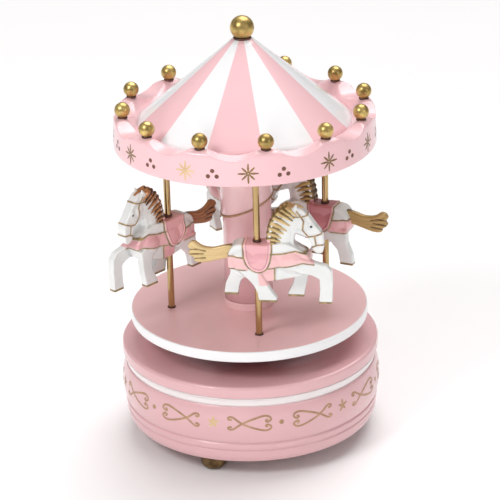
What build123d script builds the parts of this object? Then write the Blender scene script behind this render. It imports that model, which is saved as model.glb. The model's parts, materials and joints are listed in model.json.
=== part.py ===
from build123d import *
import math
import os

# Carousel music box. Millimetres, +Z up, front towards -Y.
# Origin: on the carousel's axis, on the plane that the feet stand on.
# An angle called "bearing" runs round the axis from the front (-Y) towards the right (+X), in degrees.

# ---------------------------------------------------------------- driving dimensions
FOOT_COUNT, FOOT_HEIGHT, FOOT_RADIUS = 3, 7.0, 5.5
FOOT_CIRCLE, FOOT_BEARING = 44.0, -22.0
PEG_RADIUS, PEG_LENGTH = 2.0, 4.0

BASE_BOTTOM = FOOT_HEIGHT
FLOOR_TOP = 12.0                 # top of the drum's inner floor ring
DRUM_TOP, RING_TOP, LID_TOP = 33.0, 37.0, 42.0
BASE_RADIUS, BULGE_RADIUS = 53.6, 54.9
CAVITY_RADIUS, HATCH_RADIUS, REBATE_RADIUS = 48.0, 34.0, 38.0
PLATE_THICKNESS = 3.0

BED_TOP, BED_RADIUS = 14.0, 45.0
BARREL_RADIUS, BARREL_TOP = 11.5, 21.0
SPINDLE_RADIUS, RUNNING = 2.5, 0.05    # RUNNING is the radial clearance of every shaft
GEAR_MODULE = 0.5
CROWN_TEETH, PINION_TEETH, WHEEL_TEETH, FLY_TEETH = 48, 12, 24, 8
CROWN_BOTTOM, CROWN_TOP, CROWN_RADIUS = 21.4, 23.2, 13.3
ADDENDUM, DEDENDUM = 0.8 * GEAR_MODULE, 1.25 * GEAR_MODULE
ARBOR_Z = CROWN_TOP + DEDENDUM + GEAR_MODULE * PINION_TEETH / 2
ARBOR_RADIUS, FLY_ARBOR_RADIUS = 1.0, 0.75
FLY_X = -GEAR_MODULE * (WHEEL_TEETH + FLY_TEETH) / 2
CYLINDER_RADIUS, CYLINDER_IN, CYLINDER_OUT = 6.5, 15.6, 37.6
PIN_RADIUS, PIN_HEIGHT = 0.25, 0.4
COMB_TEETH, COMB_TIP_X = 18, 7.3
COMB_NEAR, COMB_FAR = 16.2, 37.0       # distances of the comb's ends in front of the axis
BRACKET_IN, BRACKET_OUT, BRACKET_THICKNESS = 13.8, 39.8, 1.4

BUSH_RADIUS, BUSH_FLANGE = 4.5, 7.0
HUB_BOTTOM, HUB_RADIUS = 43.3, 14.0
DISC_BOTTOM, DISC_TOP, DISC_RADIUS = 51.4, 56.0, 50.0
COLUMN_RADIUS, COLUMN_BORE = 10.2, 7.5
COLLAR_TOP, COLLAR_RADIUS = 59.4, 10.6
SLEEVE_RADIUS, SLEEVE_CUT_Z, SLEEVE_CUT_RISE = 10.9, 100.8, 4.3
TRIM_HEIGHT, TRIM_PROUD = 1.0, 0.25
TIE_ROD_RADIUS = 2.0
SPINDLE_SOCKET, TIE_ROD_BOTTOM = 3.7, 47.8

CEILING_BOTTOM, CEILING_TOP, CEILING_RADIUS = 130.0, 133.0, 51.4
RIM_BOTTOM, RIM_RADIUS, RIM_WALL = 129.0, 54.0, 2.5
CREST_Z, VALLEY_Z, GUTTER_Z, GUTTER_RADIUS, GUTTER_WEB = 142.9, 139.7, 138.5, 44.0, 2.0
SCALLOPS, SCALLOP_BEARING, SCALLOP_CUT_RADIUS = 12, -20.7, 17.0
ROOF_TOP_Z, ROOF_TOP_RADIUS, ROOF_WALL = 172.5, 4.2, 2.2
BALL_RADIUS, BALL_CIRCLE, BALL_Z = 3.2, 50.0, 146.1
BALL_PIN_RADIUS, BALL_PIN_LENGTH = 1.2, 6.0
FINIAL_RADIUS, FINIAL_Z, WASHER_TOP, WASHER_RADIUS = 4.9, 177.2, 173.3, 3.5

POLE_RADIUS, POLE_CIRCLE, POLE_SOCKET = 1.35, 33.0, 3.5
POLE_TOP = 132.7
# name, bearing of the pole, heading of the horse anticlockwise from +X, its height above the common one
RIDES = [
    ("front", 6.5, -8.0, 0.0),
    ("right", 96.5, 155.0, 1.3),
    ("back", 186.5, 118.0, -1.2),
    ("left", -84.0, 227.0, 0.0),
]
BODY_THICKNESS, NECK_THICKNESS, HEAD_THICKNESS, MUZZLE_THICKNESS = 10.0, 6.0, 5.4, 3.8
LEG_THICKNESS, TAIL_THICKNESS = 3.2, 2.4
LEG_OFFSET, HOOF_BOTTOM = 3.4, 72.6

# screws: shank radius, head radius, head depth, whole length
HATCH_SCREW = (1.0, 1.9, 1.2, 4.8)
BED_SCREW = (1.2, 2.2, 1.2, 5.5)
HUB_SCREW = (1.2, 2.2, 1.4, 11.0)
COMB_SCREW = (1.0, 1.9, 1.2, 8.0)
FOOT_SCREW = (0.7, 1.3, 0.8, 2.6)


# ---------------------------------------------------------------- helpers
def save(shape, node):
    """Writes one sub-part."""
    export_step(shape, os.path.join("parts", node + ".step"))


def at(radius, bearing, z=0.0):
    """A point at a radius and bearing from the axis."""
    turn = math.radians(bearing)
    return Vector(radius * math.sin(turn), -radius * math.cos(turn), z)


def rod(start, end, radius):
    """A straight round bar between two points."""
    start, end = Vector(*start), Vector(*end)
    return Solid.make_cylinder(radius, (end - start).length, Plane(start, z_dir=end - start))


def tube(outer, inner, bottom, top):
    """An upright ring or tube on the axis."""
    return rod((0, 0, bottom), (0, 0, top), outer) - rod((0, 0, bottom - 1), (0, 0, top + 1), inner)


def turned(*edges):
    """Turns a closed outline of edges in the XZ plane about the axis."""
    return revolve(make_face(Curve() + list(edges)), Axis.Z)


def turned_polygon(*points):
    """Turns a closed outline of (radius, z) points about the axis."""
    return revolve(make_face(Polyline(*[(r, 0, z) for r, z in points], close=True)), Axis.Z)


def slab(thickness, y, *points):
    """A plate of the given thickness, centred at y, with an outline of (x, z) points."""
    outline = make_face(Polyline(*[(x, y - thickness / 2, z) for x, z in points], close=True))
    return extrude(outline, amount=thickness, dir=(0, 1, 0))


def counterbored(shape, places, shank, head, head_depth, length, down):
    """Cuts screw holes at (x, y, z) places on a face; down is +1 when the screw goes up from there."""
    for x, y, z in places:
        shape -= rod((x, y, z), (x, y, z + down * length), shank)
        shape -= rod((x, y, z), (x, y, z + down * head_depth), head)
    return shape


def screws(places, shank, head, head_depth, length, down):
    """Screws that fill the holes above, each with a cross recess in its head."""
    made = []
    for x, y, z in places:
        body = rod((x, y, z), (x, y, z + down * head_depth), head)
        body += rod((x, y, z), (x, y, z + down * length), shank)
        recess = Box(head * 1.3, 0.5, 0.8) + Box(0.5, head * 1.3, 0.8)
        made.append(body - Pos(x, y, z) * recess)
    return Compound(children=made)


# ---------------------------------------------------------------- gears
def spur_outline(teeth, first):
    """Outline of a spur gear; first is the angle of its first tooth. Teeth are slim, for free running."""
    pitch = 2 * math.pi / teeth
    radius = GEAR_MODULE * teeth / 2
    root, tip = radius - DEDENDUM, radius + ADDENDUM
    points = []
    for k in range(teeth):
        middle = math.radians(first) + k * pitch
        for r, offset in ((root, -0.25), (tip, -0.09), (tip, 0.09), (root, 0.25)):
            points.append((r * math.cos(middle + offset * pitch), r * math.sin(middle + offset * pitch)))
    return points


def spur_gear(teeth, first, near, far, x, bore):
    """A spur gear on an arbor along Y at x, between two distances in front of the axis."""
    plane = Plane(origin=(x, -near, ARBOR_Z), x_dir=(1, 0, 0), z_dir=(0, -1, 0))
    gear = extrude(plane * make_face(Polyline(*spur_outline(teeth, first), close=True)), amount=far - near)
    return gear - rod((x, -near + 1, ARBOR_Z), (x, -far - 1, ARBOR_Z), bore)


def crown_wheel():
    """A wheel with teeth on its upper face, fixed on the spindle."""
    half_pitch = math.pi * GEAR_MODULE / 2
    mean = GEAR_MODULE * CROWN_TEETH / 2
    sink = 0.1
    wheel = tube(CROWN_RADIUS, SPINDLE_RADIUS, CROWN_BOTTOM, CROWN_TOP)
    tip = CROWN_TOP + DEDENDUM + ADDENDUM
    outline = [(-0.5, CROWN_TOP - sink), (0.5, CROWN_TOP - sink), (0.2, tip), (-0.2, tip)]
    points = [(share * half_pitch, -(mean - 1.1), z) for share, z in outline]
    tooth = extrude(make_face(Polyline(*points, close=True)), amount=2.2, dir=(0, -1, 0))
    return wheel + [Rot(0, 0, k * 360 / CROWN_TEETH) * tooth for k in range(CROWN_TEETH)]


# ---------------------------------------------------------------- base
def foot(bearing):
    """A turned foot with a peg that is glued into the drum."""
    half = FOOT_HEIGHT / 2
    flat, neck = FOOT_RADIUS * 0.66, FOOT_RADIUS * 0.82
    outline = [
        Line((0, 0, 0), (flat, 0, 0)),
        ThreePointArc((flat, 0, 0), (FOOT_RADIUS, 0, half), (neck, 0, FOOT_HEIGHT)),
        Line((neck, 0, FOOT_HEIGHT), (PEG_RADIUS, 0, FOOT_HEIGHT)),
        Line((PEG_RADIUS, 0, FOOT_HEIGHT), (PEG_RADIUS, 0, FOOT_HEIGHT + PEG_LENGTH)),
        Line((PEG_RADIUS, 0, FOOT_HEIGHT + PEG_LENGTH), (0, 0, FOOT_HEIGHT + PEG_LENGTH)),
        Line((0, 0, FOOT_HEIGHT + PEG_LENGTH), (0, 0, 0)),
    ]
    return Pos(*at(FOOT_CIRCLE, bearing)) * turned(*outline)


def foot_bearings():
    return [FOOT_BEARING + k * 360 / FOOT_COUNT for k in range(FOOT_COUNT)]


def base_drum():
    """The hollow case: a lip, a bead between two grooves and a bulged band, open below and above."""
    bead_low, bead_high, groove = 12.9, 16.4, 0.5
    plate_top = BASE_BOTTOM + PLATE_THICKNESS
    walk = [
        (REBATE_RADIUS, BASE_BOTTOM), (51.0, BASE_BOTTOM), (52.4, BASE_BOTTOM + 0.8), (53.4, 10.0),
        (BASE_RADIUS, bead_low - groove), (BASE_RADIUS - groove, bead_low), (BASE_RADIUS, bead_low + groove),
        (BASE_RADIUS + 0.3, bead_high - groove), (BASE_RADIUS - 0.2, bead_high),
        (BASE_RADIUS + 0.3, bead_high + groove),
    ]
    edges = [Line((a[0], 0, a[1]), (b[0], 0, b[1])) for a, b in zip(walk, walk[1:])]
    last = walk[-1]
    edges.append(ThreePointArc((last[0], 0, last[1]), (BULGE_RADIUS, 0, 23.5), (53.2, 0, DRUM_TOP)))
    inside = [
        (53.2, DRUM_TOP), (CAVITY_RADIUS, DRUM_TOP), (CAVITY_RADIUS, FLOOR_TOP), (HATCH_RADIUS, FLOOR_TOP),
        (HATCH_RADIUS, plate_top), (REBATE_RADIUS, plate_top), (REBATE_RADIUS, BASE_BOTTOM),
    ]
    edges += [Line((a[0], 0, a[1]), (b[0], 0, b[1])) for a, b in zip(inside, inside[1:])]
    drum = turned(*edges)
    for bearing in foot_bearings():
        hole = at(FOOT_CIRCLE, bearing, BASE_BOTTOM)
        drum -= rod(hole, hole + Vector(0, 0, PEG_LENGTH), PEG_RADIUS)
    for x, y, z in bed_screw_places():
        drum -= rod((x, y, FLOOR_TOP), (x, y, z + BED_SCREW[2] - BED_SCREW[3]), BED_SCREW[0])
    for x, y, z in hatch_screw_places():
        drum -= rod((x, y, plate_top), (x, y, z + HATCH_SCREW[3]), HATCH_SCREW[0])
    return drum


def hatch_screw_places():
    return [tuple(at(35.7, bearing, BASE_BOTTOM)) for bearing in (0, 120, 240)]


def bottom_plate():
    """The round hatch that closes the drum from below."""
    plate = rod((0, 0, BASE_BOTTOM), (0, 0, BASE_BOTTOM + PLATE_THICKNESS), REBATE_RADIUS - 0.1)
    return counterbored(plate, hatch_screw_places(), *HATCH_SCREW, 1)


def base_ring():
    """The white cove ring between drum and lid."""
    low, high = (53.0, DRUM_TOP), (54.3, RING_TOP - 0.5)
    return turned(
        Line((CAVITY_RADIUS, 0, DRUM_TOP), (low[0], 0, low[1])),
        ThreePointArc((low[0], 0, low[1]), (53.3, 0, 35.2), (high[0], 0, high[1])),
        Line((high[0], 0, high[1]), (high[0], 0, RING_TOP)),
        Line((high[0], 0, RING_TOP), (CAVITY_RADIUS, 0, RING_TOP)),
        Line((CAVITY_RADIUS, 0, RING_TOP), (CAVITY_RADIUS, 0, DRUM_TOP)),
    )


def base_lid():
    """The lid, with a spigot that locates it in the ring and drum."""
    edge, shoulder, spigot = 54.4, 1.4, (42.0, CAVITY_RADIUS - 0.1, 34.0)
    walk = [
        (BUSH_RADIUS, LID_TOP), (BUSH_RADIUS, RING_TOP), (spigot[0], RING_TOP), (spigot[0], spigot[2]),
        (spigot[1], spigot[2]), (spigot[1], RING_TOP), (edge, RING_TOP), (edge, LID_TOP - shoulder),
    ]
    edges = [Line((a[0], 0, a[1]), (b[0], 0, b[1])) for a, b in zip(walk, walk[1:])]
    round_mid = (edge - shoulder * 0.29, 0, LID_TOP - shoulder * 0.29)
    edges.append(ThreePointArc((edge, 0, LID_TOP - shoulder), round_mid, (edge - shoulder, 0, LID_TOP)))
    edges.append(Line((edge - shoulder, 0, LID_TOP), (BUSH_RADIUS, 0, LID_TOP)))
    return turned(*edges)


def top_bush():
    """The flanged bush in which the spindle turns."""
    bore = SPINDLE_RADIUS + RUNNING
    flange_top = LID_TOP + 1
    return turned_polygon((bore, RING_TOP), (BUSH_RADIUS, RING_TOP), (BUSH_RADIUS, LID_TOP),
                          (BUSH_FLANGE, LID_TOP), (BUSH_FLANGE, flange_top), (bore, flange_top))


# ---------------------------------------------------------------- musical movement
def bed_screw_places():
    return [tuple(at(40.0, bearing, BED_TOP)) for bearing in (70, 180, 290)]


def foot_screw_places():
    """Places of the screws that hold the feet of the two brackets."""
    inner, outer = BRACKET_IN + BRACKET_THICKNESS + 2.4, BRACKET_OUT - 2.4
    top = BED_TOP + 1.2
    return [(x, -r, top) for r in (inner, outer) for x in (-8.2, 2.0)]


def movement_bedplate():
    plate = tube(BED_RADIUS, SPINDLE_RADIUS + RUNNING, FLOOR_TOP, BED_TOP)
    for x, y, z in bed_screw_places():
        plate -= rod((x, y, FLOOR_TOP), (x, y, BED_TOP), BED_SCREW[0])
    for x, y, z in foot_screw_places():
        plate -= rod((x, y, BED_TOP), (x, y, z - FOOT_SCREW[3] + FOOT_SCREW[2]), FOOT_SCREW[0])
    return plate


def raised_screws(places, shank, head, head_depth, length):
    """Screws with their heads standing on the places."""
    lifted = [(x, y, z + head_depth) for x, y, z in places]
    return screws(lifted, shank, head, head_depth, length, -1)


def spring_barrel():
    """The still housing of the mainspring, open below, where it stands on the bedplate."""
    wall, bore = 1.0, SPINDLE_RADIUS + 0.3
    return turned_polygon((BARREL_RADIUS, BED_TOP), (BARREL_RADIUS, BARREL_TOP), (bore, BARREL_TOP),
                          (bore, BARREL_TOP - wall), (BARREL_RADIUS - wall, BARREL_TOP - wall),
                          (BARREL_RADIUS - wall, BED_TOP))


def mainspring():
    """A spiral strip of half rings whose centres alternate, from the arbor out to the barrel wall."""
    bottom, top, strip, gap, turns = BED_TOP + 0.3, BARREL_TOP - 1.3, 0.35, 0.45, 4
    spring = None
    for k in range(2 * turns):
        inner = 3.2 + k * (strip + gap)
        side = (strip + gap) / 2 if k % 2 else -(strip + gap) / 2
        half = tube(inner + strip, inner, bottom, top)
        keep = Pos(0, 50 if k % 2 else -50, 0) * Box(100, 100, 100)
        half = Pos(side, 0, 0) * (half & keep)
        spring = half if spring is None else spring + half
    return spring


def spindle():
    """The winding and output shaft, from the bedplate up into the turntable hub."""
    return rod((0, 0, FLOOR_TOP - 1.7), (0, 0, HUB_BOTTOM + SPINDLE_SOCKET), SPINDLE_RADIUS)


def arbor(x, near, far, radius):
    return rod((x, -near, ARBOR_Z), (x, -far, ARBOR_Z), radius)


def pinned_cylinder():
    """The brass cylinder; each of its tracks has pins at angles from the golden angle."""
    body = arbor(0, CYLINDER_IN, CYLINDER_OUT, CYLINDER_RADIUS)
    body -= arbor(0, CYLINDER_IN - 1, CYLINDER_OUT + 1, ARBOR_RADIUS)
    golden, pins_per_track = 137.508, 5
    pins = []
    for track in range(COMB_TEETH):
        for k in range(pins_per_track):
            turn = math.radians((track * pins_per_track + k) * golden)
            out = Vector(math.cos(turn), 0, math.sin(turn))
            middle = Vector(0, comb_tooth_y(track), ARBOR_Z)
            start = middle + out * (CYLINDER_RADIUS - 1)
            pins.append(rod(start, middle + out * (CYLINDER_RADIUS + PIN_HEIGHT), PIN_RADIUS))
    return body + pins


def comb_tooth_y(tooth):
    pitch = (COMB_FAR - COMB_NEAR) / COMB_TEETH
    return -(COMB_NEAR + (tooth + 0.5) * pitch)


def comb_screw_places():
    return [(18.5, -20.0, ARBOR_Z + 0.4), (18.5, -33.0, ARBOR_Z + 0.4)]


def tone_comb():
    """The steel comb, slit into tuned teeth whose tips stand just off the pins."""
    thickness, back_x, slit = 0.8, 22.0, 0.35
    width = COMB_FAR - COMB_NEAR
    pitch = width / COMB_TEETH
    middle = Pos((COMB_TIP_X + back_x) / 2, -(COMB_NEAR + COMB_FAR) / 2, ARBOR_Z)
    comb = middle * Box(back_x - COMB_TIP_X, width, thickness)
    for k in range(1, COMB_TEETH):
        depth = 8.5 - 3.0 * k / COMB_TEETH
        gap = Pos(COMB_TIP_X + depth / 2, -(COMB_NEAR + k * pitch), ARBOR_Z)
        comb -= gap * Box(depth, slit, 2 * thickness)
    for x, y, z in comb_screw_places():
        comb -= rod((x, y, z - 2), (x, y, z + 2), COMB_SCREW[0])
    return comb


def comb_rest():
    """The block under the comb's back edge."""
    low_x, high_x, top = 16.4, 22.0, ARBOR_Z - 0.4
    middle = Pos((low_x + high_x) / 2, -(COMB_NEAR + COMB_FAR) / 2, (BED_TOP + top) / 2)
    rest = middle * Box(high_x - low_x, COMB_FAR - COMB_NEAR, top - BED_TOP)
    for x, y, z in comb_screw_places():
        rest -= rod((x, y, z - COMB_SCREW[3] + COMB_SCREW[2]), (x, y, z), COMB_SCREW[0])
    return rest


def bearing_bracket(near, foot_side):
    """An upright plate that carries both arbors, with a foot; foot_side is +1 when the foot is outboard."""
    far = near + BRACKET_THICKNESS
    left, right, shoulder, top = -10.6, 4.4, BED_TOP + 6, ARBOR_Z + 3.2
    outline = [(left, BED_TOP), (right, BED_TOP), (right, shoulder), (right - 1.4, top), (left + 1, top),
               (left, shoulder)]
    bracket = slab(BRACKET_THICKNESS, -(near + far) / 2, *outline)
    length, thickness = 4.6, 1.2
    middle = far + length / 2 if foot_side > 0 else near - length / 2
    flange = Box(right - left, length, thickness)
    bracket += Pos((left + right) / 2, -middle, BED_TOP + thickness / 2) * flange
    bracket -= arbor(0, near - 1, far + 1, ARBOR_RADIUS + RUNNING)
    bracket -= arbor(FLY_X, near - 1, far + 1, FLY_ARBOR_RADIUS + RUNNING)
    for x, y, z in foot_screw_places():
        bracket -= rod((x, y, BED_TOP), (x, y, z), FOOT_SCREW[0])
    return bracket


def fly_fan():
    """The air brake: two flat blades on a boss."""
    near, far = 42.0, 44.4
    fan = arbor(FLY_X, near, far, 1.6)
    fan += Pos(FLY_X, -(near + far) / 2, ARBOR_Z) * Box(0.4, far - near, 7.0)
    return fan - arbor(FLY_X, near - 1, far + 1, FLY_ARBOR_RADIUS)


# ---------------------------------------------------------------- carousel
def hub_screw_places():
    return [tuple(at(10.0, bearing, HUB_BOTTOM)) for bearing in (30, 150, 270)]


def turntable_hub():
    """Joins the spindle, the disc and the tie rod."""
    hub = rod((0, 0, HUB_BOTTOM), (0, 0, DISC_BOTTOM), HUB_RADIUS)
    hub -= rod((0, 0, HUB_BOTTOM), (0, 0, HUB_BOTTOM + SPINDLE_SOCKET), SPINDLE_RADIUS)
    hub -= rod((0, 0, TIE_ROD_BOTTOM), (0, 0, DISC_BOTTOM), TIE_ROD_RADIUS)
    return counterbored(hub, hub_screw_places(), *HUB_SCREW, 1)


def platform_disc():
    """The round floor, with a blind hole for each pole."""
    disc = rod((0, 0, DISC_BOTTOM), (0, 0, DISC_TOP), DISC_RADIUS)
    disc = fillet(disc.edges().filter_by(GeomType.CIRCLE), 0.5)
    disc -= rod((0, 0, DISC_BOTTOM), (0, 0, DISC_TOP), TIE_ROD_RADIUS)
    for _, bearing, _, _ in RIDES:
        floor = at(POLE_CIRCLE, bearing, DISC_TOP - POLE_SOCKET)
        disc -= rod(floor, floor + Vector(0, 0, 2 * POLE_SOCKET), POLE_RADIUS)
    for x, y, z in hub_screw_places():
        disc -= rod((x, y, DISC_BOTTOM), (x, y, z + HUB_SCREW[3]), HUB_SCREW[0])
    return disc


def below_cut(z):
    """A large block whose upper face is the sleeve's oblique end, shifted to pass the axis at z."""
    tilt = math.degrees(math.atan2(SLEEVE_CUT_RISE, SLEEVE_RADIUS))
    return Pos(0, 0, z) * Rot(0, -tilt, 0) * Pos(0, 0, -30) * Box(80, 80, 60)


def column_sleeve():
    whole = tube(SLEEVE_RADIUS, COLUMN_RADIUS, SLEEVE_CUT_Z - 12, CEILING_BOTTOM)
    return whole - below_cut(SLEEVE_CUT_Z)


def sleeve_trim():
    """The gilt band round the sleeve's oblique end."""
    ring = tube(SLEEVE_RADIUS + TRIM_PROUD, SLEEVE_RADIUS, SLEEVE_CUT_Z - 12, SLEEVE_CUT_Z + 12)
    return ring - below_cut(SLEEVE_CUT_Z) & below_cut(SLEEVE_CUT_Z + TRIM_HEIGHT)


def scallop_bearings():
    return [SCALLOP_BEARING + k * 360 / SCALLOPS for k in range(SCALLOPS)]


def canopy_rim():
    """The upright band of the canopy, with a crest under each ball and a round valley between crests."""
    inner = RIM_RADIUS - RIM_WALL
    web_bottom = GUTTER_Z - GUTTER_WEB
    foot_in, foot_out = (RIM_RADIUS - 0.6, 0, RIM_BOTTOM), (RIM_RADIUS, 0, RIM_BOTTOM + 0.8)
    shoulder, crest = (RIM_RADIUS - 0.4, 0, CREST_Z - 2), (BALL_CIRCLE, 0, CREST_Z)
    gutter = (GUTTER_RADIUS, 0, GUTTER_Z)
    rim = turned(
        Line((inner, 0, RIM_BOTTOM), foot_in),
        ThreePointArc(foot_in, (RIM_RADIUS - 0.15, 0, RIM_BOTTOM + 0.2), foot_out),
        Line(foot_out, shoulder),
        ThreePointArc(shoulder, (RIM_RADIUS - 1.6, 0, CREST_Z - 0.6), crest),
        ThreePointArc(crest, (BALL_CIRCLE - 3.2, 0, CREST_Z - 1.6), gutter),
        Line(gutter, (GUTTER_RADIUS, 0, web_bottom)),
        Line((GUTTER_RADIUS, 0, web_bottom), (inner, 0, web_bottom)),
        Line((inner, 0, web_bottom), (inner, 0, RIM_BOTTOM)),
    )
    for bearing in scallop_bearings():
        valley = bearing + 180 / SCALLOPS
        height = VALLEY_Z + SCALLOP_CUT_RADIUS
        inside, outside = at(GUTTER_RADIUS - 4, valley, height), at(RIM_RADIUS + 4, valley, height)
        rim -= rod(inside, outside, SCALLOP_CUT_RADIUS)
        centre = at(BALL_CIRCLE, bearing, BALL_Z)
        rim -= rod(centre - Vector(0, 0, BALL_PIN_LENGTH), centre, BALL_PIN_RADIUS)
    return rim


def canopy_roof():
    """The hollow cone of twelve painted gores."""
    edge = GUTTER_Z - GUTTER_WEB
    return turned_polygon(
        (GUTTER_RADIUS, edge), (GUTTER_RADIUS, GUTTER_Z), (ROOF_TOP_RADIUS, ROOF_TOP_Z),
        (TIE_ROD_RADIUS, ROOF_TOP_Z), (TIE_ROD_RADIUS, ROOF_TOP_Z - ROOF_WALL),
        (ROOF_TOP_RADIUS, ROOF_TOP_Z - ROOF_WALL - 0.6), (GUTTER_RADIUS - ROOF_WALL, edge))


def canopy_ceiling():
    """The board that closes the canopy from below and carries the poles' upper ends."""
    board = tube(CEILING_RADIUS, TIE_ROD_RADIUS, CEILING_BOTTOM, CEILING_TOP)
    for _, bearing, _, _ in RIDES:
        low = at(POLE_CIRCLE, bearing, CEILING_BOTTOM - 1)
        board -= rod(low, low + Vector(0, 0, 5), POLE_RADIUS)
    return board


def rim_ball(bearing):
    """A gilt ball on its pin."""
    pin = rod((0, 0, BALL_Z - BALL_PIN_LENGTH), (0, 0, BALL_Z), BALL_PIN_RADIUS)
    return Pos(*at(BALL_CIRCLE, bearing)) * (Pos(0, 0, BALL_Z) * Sphere(BALL_RADIUS) + pin)


def finial_ball():
    ball = Pos(0, 0, FINIAL_Z) * Sphere(FINIAL_RADIUS) - Pos(0, 0, WASHER_TOP - 10) * Box(20, 20, 20)
    return ball - rod((0, 0, WASHER_TOP - 1), (0, 0, FINIAL_Z), TIE_ROD_RADIUS)


# ---------------------------------------------------------------- horses
def horse():
    """A galloping horse, nose along +X, with its pole's hole on the Z axis and its heights as mounted."""
    left, right, ground = LEG_OFFSET, -LEG_OFFSET, HOOF_BOTTOM
    torso = slab(
        BODY_THICKNESS, 0,
        (-11.6, 90), (-10.8, 95), (-7.6, 97.4), (5.6, 97.2), (10, 98.4), (16, 96),
        (21.8, 91), (20.6, 86), (14, 83.4), (6, 82), (-2, 82.4), (-10.8, 85.4))
    torso = chamfer(torso.faces().filter_by(Axis.Y).edges(), 2.0)
    neck = slab(
        NECK_THICKNESS, 0,
        (6, 96), (5.4, 104), (8, 109), (13, 113), (17.5, 112.6), (17, 104), (15.8, 97), (20, 92), (14, 89))
    skull = slab(
        HEAD_THICKNESS, 0,
        (13, 113), (18.3, 113), (25.6, 104), (20.8, 99), (15.5, 102), (13, 106))
    muzzle = slab(
        MUZZLE_THICKNESS, 0,
        (20, 106), (25.6, 104), (27, 101), (27.2, 98), (26.4, 94), (23, 94.6), (20.8, 99))
    ears = [slab(1.6, y, (14.2, 112), (17.2, 112), (16.4, 115)) for y in (-1.9, 1.9)]
    tail = slab(
        TAIL_THICKNESS, 0,
        (-9, 96), (-12, 95.2), (-20.4, 93.6), (-26.4, 96.4), (-28.4, 94), (-27.6, 90),
        (-24, 87.6), (-19, 88.2), (-11, 90.4))
    straight_hind = slab(
        LEG_THICKNESS, left,
        (-11, 87), (-11.8, 80), (-14.2, 75), (-14.2, ground), (-8.2, ground), (-7.8, 76), (-6.6, 80),
        (-1, 85))
    forward_hind = slab(
        LEG_THICKNESS, right,
        (-5, 86), (-1.6, 81), (0.7, 75.6), (0.7, ground), (8.4, ground), (7, 76), (4, 80), (4, 86))
    bent_fore = slab(
        LEG_THICKNESS, left,
        (14, 86), (14.8, 80.4), (12, 75.6), (12, ground), (18.7, ground), (19.2, 77), (20, 82), (20.6, 88))
    raised_fore = slab(
        LEG_THICKNESS, right,
        (14, 86), (24.9, 84.8), (25.8, 80), (25.4, 75), (25.4, ground), (30.7, ground),
        (31, 77), (30.6, 87), (28.6, 89.8), (18, 92))
    legs = [straight_hind, forward_hind, bent_fore, raised_fore]
    whole = torso + neck + skull + muzzle + ears + tail + legs
    return whole - rod((0, 0, ground - 10), (0, 0, CEILING_BOTTOM), POLE_RADIUS)


def pole(bearing):
    """A brass pole, pressed into the disc and the ceiling board."""
    floor = at(POLE_CIRCLE, bearing, DISC_TOP - POLE_SOCKET)
    return rod(floor, at(POLE_CIRCLE, bearing, POLE_TOP), POLE_RADIUS)


# ---------------------------------------------------------------- write every node
def main():
    os.makedirs("parts", exist_ok=True)

    for number, bearing in enumerate(foot_bearings(), 1):
        save(foot(bearing), f"foot_{number}")
    save(base_drum(), "base_drum")
    save(bottom_plate(), "bottom_plate")
    save(screws(hatch_screw_places(), *HATCH_SCREW, 1), "bottom_screws")
    save(base_ring(), "base_ring")
    save(base_lid(), "base_lid")
    save(top_bush(), "top_bush")

    save(movement_bedplate(), "movement_bedplate")
    save(raised_screws(bed_screw_places(), *BED_SCREW), "bedplate_screws")
    save(spring_barrel(), "spring_barrel")
    save(mainspring(), "mainspring")
    save(bearing_bracket(BRACKET_IN, 1), "inner_bracket")
    save(bearing_bracket(BRACKET_OUT, -1), "outer_bracket")
    save(raised_screws(foot_screw_places(), *FOOT_SCREW), "bracket_screws")
    save(comb_rest(), "comb_rest")
    save(tone_comb(), "tone_comb")
    save(raised_screws(comb_screw_places(), *COMB_SCREW), "comb_screws")

    gap_down, half_gap = -90.0 + 180.0 / PINION_TEETH, 180.0 / FLY_TEETH
    wheel_near, wheel_far = 38.0, 39.4
    save(arbor(0, 10.9, 41.6, ARBOR_RADIUS), "cylinder_arbor")
    save(pinned_cylinder(), "pinned_cylinder")
    save(spur_gear(PINION_TEETH, gap_down, 11.2, 12.8, 0, ARBOR_RADIUS), "cylinder_pinion")
    save(spur_gear(WHEEL_TEETH, 180.0, wheel_near, wheel_far, 0, ARBOR_RADIUS), "cylinder_wheel")
    fly_pinion = spur_gear(FLY_TEETH, half_gap, wheel_near, wheel_far, FLY_X, FLY_ARBOR_RADIUS)
    save(arbor(FLY_X, 13.6, 44.6, FLY_ARBOR_RADIUS) + fly_pinion, "fly_arbor")
    save(fly_fan(), "fly_fan")

    save(spindle(), "spindle")
    save(crown_wheel(), "crown_wheel")
    save(turntable_hub(), "turntable_hub")
    save(screws(hub_screw_places(), *HUB_SCREW, 1), "hub_screws")
    save(platform_disc(), "platform_disc")
    save(tube(COLLAR_RADIUS, COLUMN_RADIUS, DISC_TOP, COLLAR_TOP), "column_collar")
    save(tube(COLUMN_RADIUS, COLUMN_BORE, DISC_TOP, CEILING_BOTTOM), "column_lower")
    save(column_sleeve(), "column_sleeve")
    save(sleeve_trim(), "sleeve_trim")
    save(rod((0, 0, TIE_ROD_BOTTOM), (0, 0, FINIAL_Z), TIE_ROD_RADIUS), "tie_rod")
    save(canopy_ceiling(), "canopy_ceiling")
    save(canopy_rim(), "canopy_rim")
    save(canopy_roof(), "canopy_roof")
    for number, bearing in enumerate(scallop_bearings(), 1):
        save(rim_ball(bearing), f"rim_ball_{number:02d}")
    save(tube(WASHER_RADIUS, TIE_ROD_RADIUS, ROOF_TOP_Z, WASHER_TOP), "finial_washer")
    save(finial_ball(), "finial_ball")

    for name, bearing, heading, lift in RIDES:
        save(pole(bearing), f"pole_{name}")
        save(Pos(*at(POLE_CIRCLE, bearing, lift)) * Rot(0, 0, heading) * horse(), f"horse_{name}")


main()
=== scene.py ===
import json
from math import cos, pi, radians, sin, sqrt

import bmesh
import bpy
import numpy as np
from mathutils import Matrix, Vector


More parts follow.
